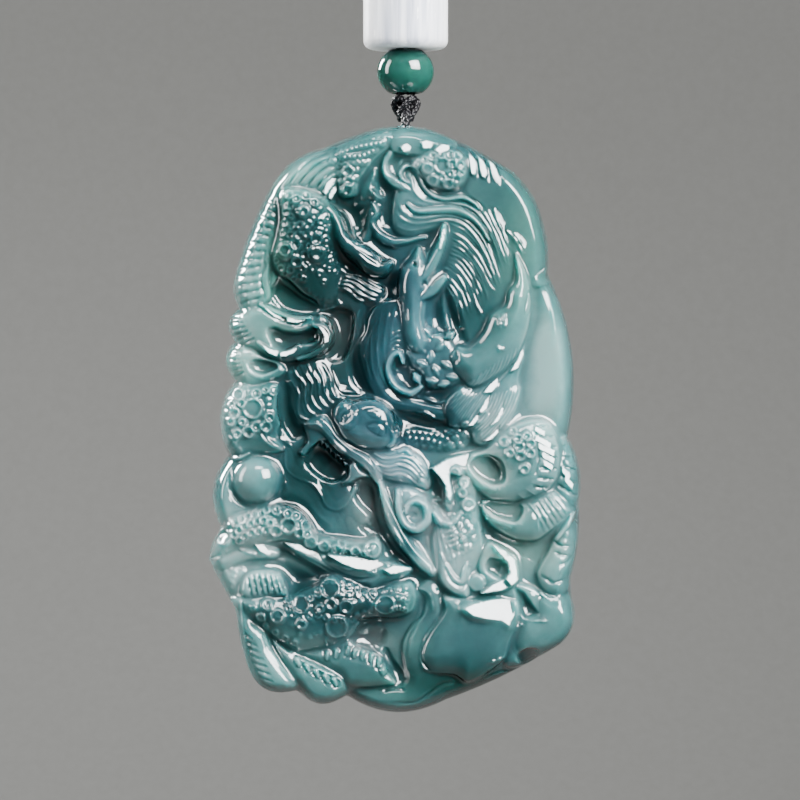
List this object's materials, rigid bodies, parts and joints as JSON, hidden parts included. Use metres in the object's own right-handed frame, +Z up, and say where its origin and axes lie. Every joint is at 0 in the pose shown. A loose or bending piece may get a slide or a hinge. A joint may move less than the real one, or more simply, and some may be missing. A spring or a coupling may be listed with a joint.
{
  "type": "carved jade dragon pendant with bead drop",
  "caption": "Carved translucent jade plaque, dragon and phoenix in relief, hung on a knotted black cord under a round green bead and a white barrel bead.",
  "frame": {"origin": "inside of the top of the hanging loop, where the pendant hangs", "axes": "+Z up along the hanging line, the carved front faces -Y, +X to the right seen from the front"},
  "size_m": [0.0431, 0.0152, 0.1043],
  "materials": {
    "carved_jade": "high polish, translucent blue-green",
    "green_jade": "high polish, translucent dark green",
    "white_jade": "satin polish, translucent white",
    "black_cord": "braided waxed polyester cord"
  },
  "bodies": {
    "root": {"carved_stone": "carved_jade", "stone_loop": "black_cord", "cord_knot": "black_cord", "green_bead": "green_jade", "barrel_bead": "white_jade", "hanging_cord": "black_cord"}
  },
  "joints": []
}
